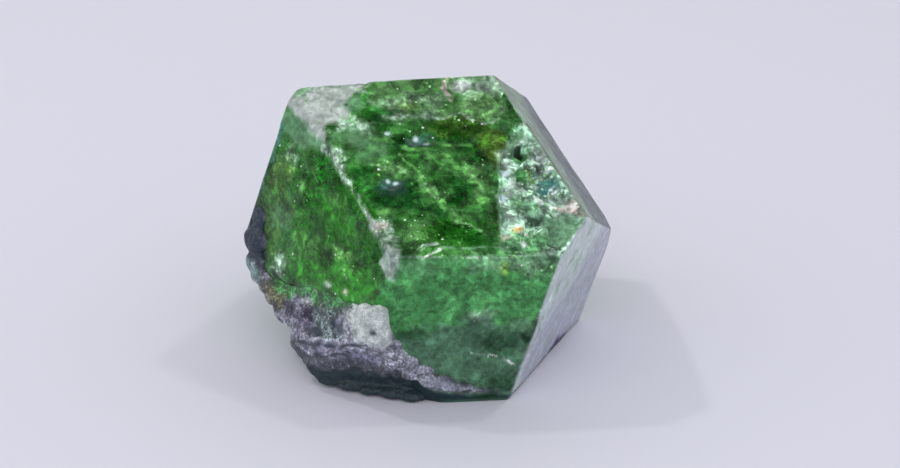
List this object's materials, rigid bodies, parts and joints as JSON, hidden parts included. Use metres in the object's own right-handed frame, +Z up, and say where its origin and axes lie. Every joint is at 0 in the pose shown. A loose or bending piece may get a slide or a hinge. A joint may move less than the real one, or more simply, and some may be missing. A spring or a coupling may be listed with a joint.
{
  "type": "garnet crystal specimen",
  "caption": "Loose green garnet crystal, a dodecahedron broken flat underneath, with a wedge of dark host rock on one lower corner.",
  "frame": {"origin": "middle of the footprint, on the surface the crystal rests on", "axes": "+Z up; -Y towards the two largest clean faces; +X towards the pale polished-looking side face"},
  "size_m": [0.0186, 0.0176, 0.0134],
  "materials": {
    "garnet": "see-through vivid green, glassy on the growth faces, cracked and milky in places",
    "rock": "rough granular grey-purple rock with pale grains and small mica glints"
  },
  "bodies": {
    "root": {"garnet_crystal": "garnet", "host_rock": "rock"}
  },
  "joints": []
}
